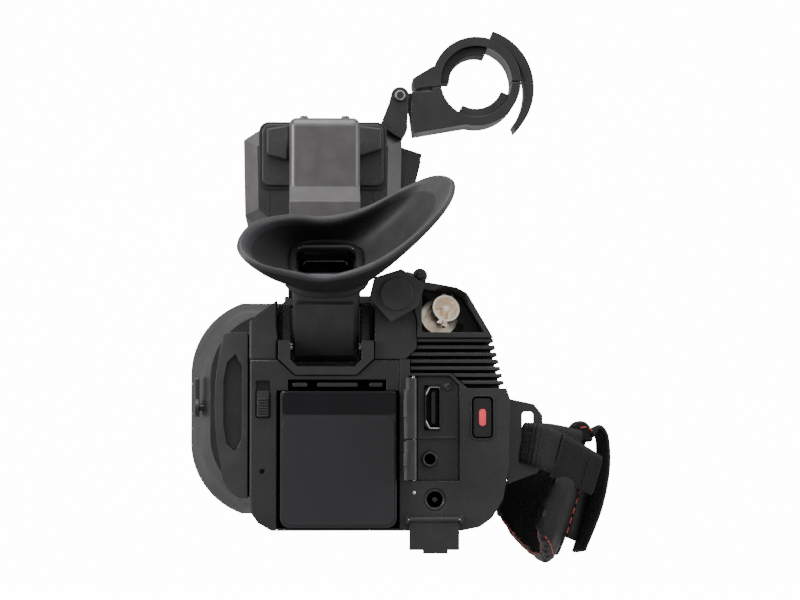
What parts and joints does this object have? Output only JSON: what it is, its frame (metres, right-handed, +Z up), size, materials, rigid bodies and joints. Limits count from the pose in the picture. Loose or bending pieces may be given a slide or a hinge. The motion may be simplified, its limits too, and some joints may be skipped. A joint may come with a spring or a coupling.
{
  "type": "camcorder",
  "caption": "Hand-held video camera with a tilting viewfinder, folding screen, top handle, microphone holder, lens hood and hand strap, seen with its socket covers open.",
  "frame": {"origin": "centre of the tripod socket's mouth, in the plane of the base", "axes": "+Z up, +Y the way the lens looks, +X the grip and strap side; the lens axis lies in X = 0"},
  "size_m": [0.1604, 0.307, 0.2141],
  "materials": {
    "case_plastic": "matt, finely textured",
    "panel_plastic": "satin",
    "handle_plastic": "satin metallic paint",
    "holder_plastic": "satin",
    "lens_plastic": "matt",
    "ring_rubber": "matt, ribbed",
    "dark_metal": "matt black anodised",
    "battery_plastic": "glossy",
    "bay_plastic": "matt",
    "soft_rubber": "matt, soft",
    "nickel": "bright nickel",
    "steel": "ground",
    "optical_glass": "coated",
    "circuit_board": "solder mask",
    "red_plastic": "satin",
    "button_plastic": "satin",
    "strap_leather": "grained, fuzzy on the inside",
    "strap_web": "woven"
  },
  "bodies": {
    "camera": {"left_case": "case_plastic", "right_case": "case_plastic", "rear_panel": "case_plastic", "top_cover": "case_plastic", "front_cover": "case_plastic", "corner_housing": "case_plastic", "port_panel": "case_plastic", "evf_cradle": "case_plastic", "handle_frame": "handle_plastic", "handle_module": "handle_plastic", "mic_bracket": "holder_plastic", "lens_barrel": "lens_plastic", "lens_hood": "lens_plastic", "heat_sink": "dark_metal", "main_chassis": "dark_metal", "base_plate": "dark_metal", "accessory_shoe": "dark_metal", "strap_lugs": "dark_metal", "battery_bay": "bay_plastic", "battery_terminal": "bay_plastic", "fan_frame": "bay_plastic", "headphone_jack": "bay_plastic", "dc_jack": "bay_plastic", "audio_sockets": "bay_plastic", "bnc_connector": "nickel", "hdmi_connector": "nickel", "hinge_pins": "steel", "front_lens": "optical_glass", "video_light": "optical_glass", "main_board": "circuit_board", "image_sensor": "circuit_board", "strap_pad": "strap_leather", "strap_webbing": "strap_web"},
    "battery": {"battery": "battery_plastic"},
    "battery_release": {"battery_release": "panel_plastic"},
    "fan_rotor": {"fan_rotor": "bay_plastic"},
    "focus_ring": {"focus_ring": "ring_rubber"},
    "zoom_ring": {"zoom_ring": "ring_rubber"},
    "upper_shutter": {"upper_shutter": "lens_plastic"},
    "lower_shutter": {"lower_shutter": "lens_plastic"},
    "shutter_lever": {"shutter_lever": "lens_plastic"},
    "lcd": {"lcd_hinge": "panel_plastic", "lcd_panel": "panel_plastic", "lcd_screen": "optical_glass"},
    "viewfinder": {"evf_body": "panel_plastic", "evf_bottom_plate": "panel_plastic", "eyepiece_lens": "optical_glass", "eyecup": "soft_rubber"},
    "diopter_dial": {"diopter_dial": "bay_plastic"},
    "handle_rec_button": {"handle_rec_button": "red_plastic"},
    "handle_zoom_rocker": {"handle_zoom_rocker": "panel_plastic"},
    "mic_arm": {"mic_arm": "holder_plastic"},
    "mic_clamp": {"mic_clamp": "holder_plastic"},
    "mic_latch": {"mic_latch": "holder_plastic"},
    "rec_button": {"rec_button": "button_plastic"},
    "zoom_rocker": {"zoom_rocker": "panel_plastic"},
    "port_cover_hdmi": {"port_cover_hdmi": "soft_rubber"},
    "port_cover_phones": {"port_cover_phones": "soft_rubber"},
    "dc_cover": {"dc_cover": "soft_rubber"},
    "sdi_cap": {"sdi_cap": "soft_rubber"}
  },
  "joints": [
    {"name": "battery_slide", "type": "slide", "parent": "camera", "child": "battery", "axis": [0, -1, 0], "range_m": [0, 0.075]},
    {"name": "release_slide", "type": "slide", "parent": "camera", "child": "battery_release", "axis": [0, 0, 1], "range_m": [0, 0.003], "stiffness_N_per_m": 300},
    {"name": "fan_spin", "type": "hinge", "parent": "camera", "child": "fan_rotor", "pos_m": [0.0445, -0.05, 0.057], "axis": [0, 1, 0], "continuous": true},
    {"name": "focus_turn", "type": "hinge", "parent": "camera", "child": "focus_ring", "pos_m": [0, 0.08, 0.046], "axis": [0, 1, 0], "continuous": true},
    {"name": "zoom_turn", "type": "hinge", "parent": "camera", "child": "zoom_ring", "pos_m": [0, 0.099, 0.046], "axis": [0, 1, 0], "range_deg": [-45, 45]},
    {"name": "lever_turn", "type": "hinge", "parent": "camera", "child": "shutter_lever", "pos_m": [-0.0524, 0.127, 0.046], "axis": [1, 0, 0], "range_deg": [0, 45]},
    {"name": "upper_shutter_turn", "type": "hinge", "parent": "camera", "child": "upper_shutter", "pos_m": [0, 0.1185, 0.079], "axis": [1, 0, 0], "range_deg": [-90, 0]},
    {"name": "lower_shutter_turn", "type": "hinge", "parent": "camera", "child": "lower_shutter", "pos_m": [0, 0.1185, 0.013], "axis": [1, 0, 0], "range_deg": [0, 90]},
    {"name": "lcd_open", "type": "hinge", "parent": "camera", "child": "lcd", "pos_m": [-0.032, 0.013, 0.04], "axis": [0, 0, -1], "range_deg": [0, 90]},
    {"name": "evf_tilt", "type": "hinge", "parent": "camera", "child": "viewfinder", "pos_m": [0, -0.083, 0.064], "axis": [-1, 0, 0], "range_deg": [-50, 40]},
    {"name": "diopter_turn", "type": "hinge", "parent": "viewfinder", "child": "diopter_dial", "pos_m": [-0.0125, -0.08973, 0.08446], "axis": [1, 0, 0], "continuous": true},
    {"name": "handle_rec_press", "type": "slide", "parent": "camera", "child": "handle_rec_button", "axis": [0, 0, -1], "range_m": [0, 0.0003], "stiffness_N_per_m": 600},
    {"name": "handle_zoom_turn", "type": "hinge", "parent": "camera", "child": "handle_zoom_rocker", "pos_m": [0.024, 0.092, 0.1602], "axis": [1, 0, 0], "range_deg": [-4, 4], "stiffness_Nm_per_rad": 0.05},
    {"name": "mic_arm_turn", "type": "hinge", "parent": "camera", "child": "mic_arm", "pos_m": [0.031, 0.067, 0.1703], "axis": [0, -1, 0], "range_deg": [-4, 50]},
    {"name": "mic_clamp_open", "type": "hinge", "parent": "mic_arm", "child": "mic_clamp", "pos_m": [0.0386, 0.067, 0.1754], "axis": [0, -1, 0], "range_deg": [0, 45]},
    {"name": "mic_latch_open", "type": "hinge", "parent": "mic_clamp", "child": "mic_latch", "pos_m": [0.06786, 0.067, 0.19504], "axis": [0, -1, 0], "range_deg": [0, 50]},
    {"name": "rec_press", "type": "slide", "parent": "camera", "child": "rec_button", "axis": [0, 1, 0], "range_m": [0, 0.0007], "stiffness_N_per_m": 600},
    {"name": "grip_zoom_turn", "type": "hinge", "parent": "camera", "child": "zoom_rocker", "pos_m": [0.0505, 0.035, 0.069], "axis": [1, 0, 0], "range_deg": [-4, 4], "stiffness_Nm_per_rad": 0.05},
    {"name": "hdmi_cover_turn", "type": "hinge", "parent": "camera", "child": "port_cover_hdmi", "pos_m": [0.0304, -0.0941, 0.042], "axis": [0, 0, 1], "range_deg": [0, 98]},
    {"name": "phones_cover_turn", "type": "hinge", "parent": "camera", "child": "port_cover_phones", "pos_m": [0.0304, -0.0941, 0.024], "axis": [0, 0, 1], "range_deg": [0, 98]},
    {"name": "dc_cover_turn", "type": "hinge", "parent": "camera", "child": "dc_cover", "pos_m": [0.0376, -0.0963, 0.0038], "axis": [-1, 0, 0], "range_deg": [0, 170]},
    {"name": "sdi_cap_swing", "type": "hinge", "parent": "camera", "child": "sdi_cap", "pos_m": [0.0332, -0.082, 0.0893], "axis": [0, -1, 0], "range_deg": [0, 4]}
  ],
  "couplings": [
    {"joint": "upper_shutter_turn", "follows": "lever_turn", "ratio": -2},
    {"joint": "lower_shutter_turn", "follows": "lever_turn", "ratio": 2}
  ]
}
